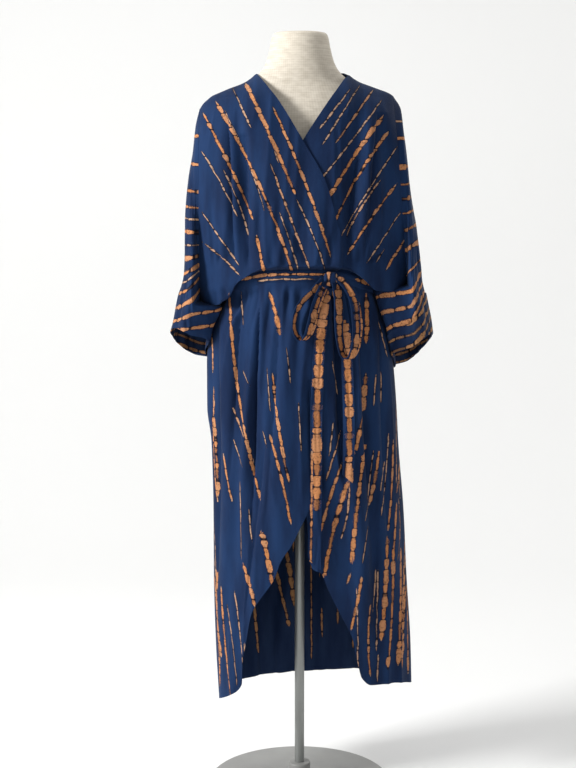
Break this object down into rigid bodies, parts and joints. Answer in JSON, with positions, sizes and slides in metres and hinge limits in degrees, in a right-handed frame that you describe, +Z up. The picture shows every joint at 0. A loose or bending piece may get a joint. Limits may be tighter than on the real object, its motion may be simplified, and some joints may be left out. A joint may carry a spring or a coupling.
{
  "type": "kimono jacket on a dress form",
  "caption": "Long wrap kimono jacket with wide hanging sleeves, tulip hem and tied belt, worn by a limbless dress form on a pole stand.",
  "frame": {"origin": "centre of the base plate's underside, on the floor", "axes": "+Z up, -Y towards the garment's front, +X towards the wearer's left"},
  "size_m": [0.5064, 0.36, 1.484],
  "materials": {
    "cloth": "soft navy viscose, resist dyed with tan stripes",
    "cloth_wrong_side": "paler wrong side of the same cloth",
    "linen_canvas": "plain woven cream canvas",
    "pole_metal": "satin grey tube",
    "base_metal": "satin grey enamel"
  },
  "bodies": {
    "root": {"right_front": "cloth", "left_front": "cloth", "back": "cloth", "right_sleeve": "cloth", "left_sleeve": "cloth", "left_cuff_turn_up": "cloth_wrong_side", "belt": "cloth", "belt_knot": "cloth", "right_bow_loop": "cloth", "left_bow_loop": "cloth", "right_belt_end": "cloth", "left_belt_end": "cloth", "dress_form": "linen_canvas", "pole": "pole_metal", "base_plate": "base_metal"}
  },
  "joints": []
}
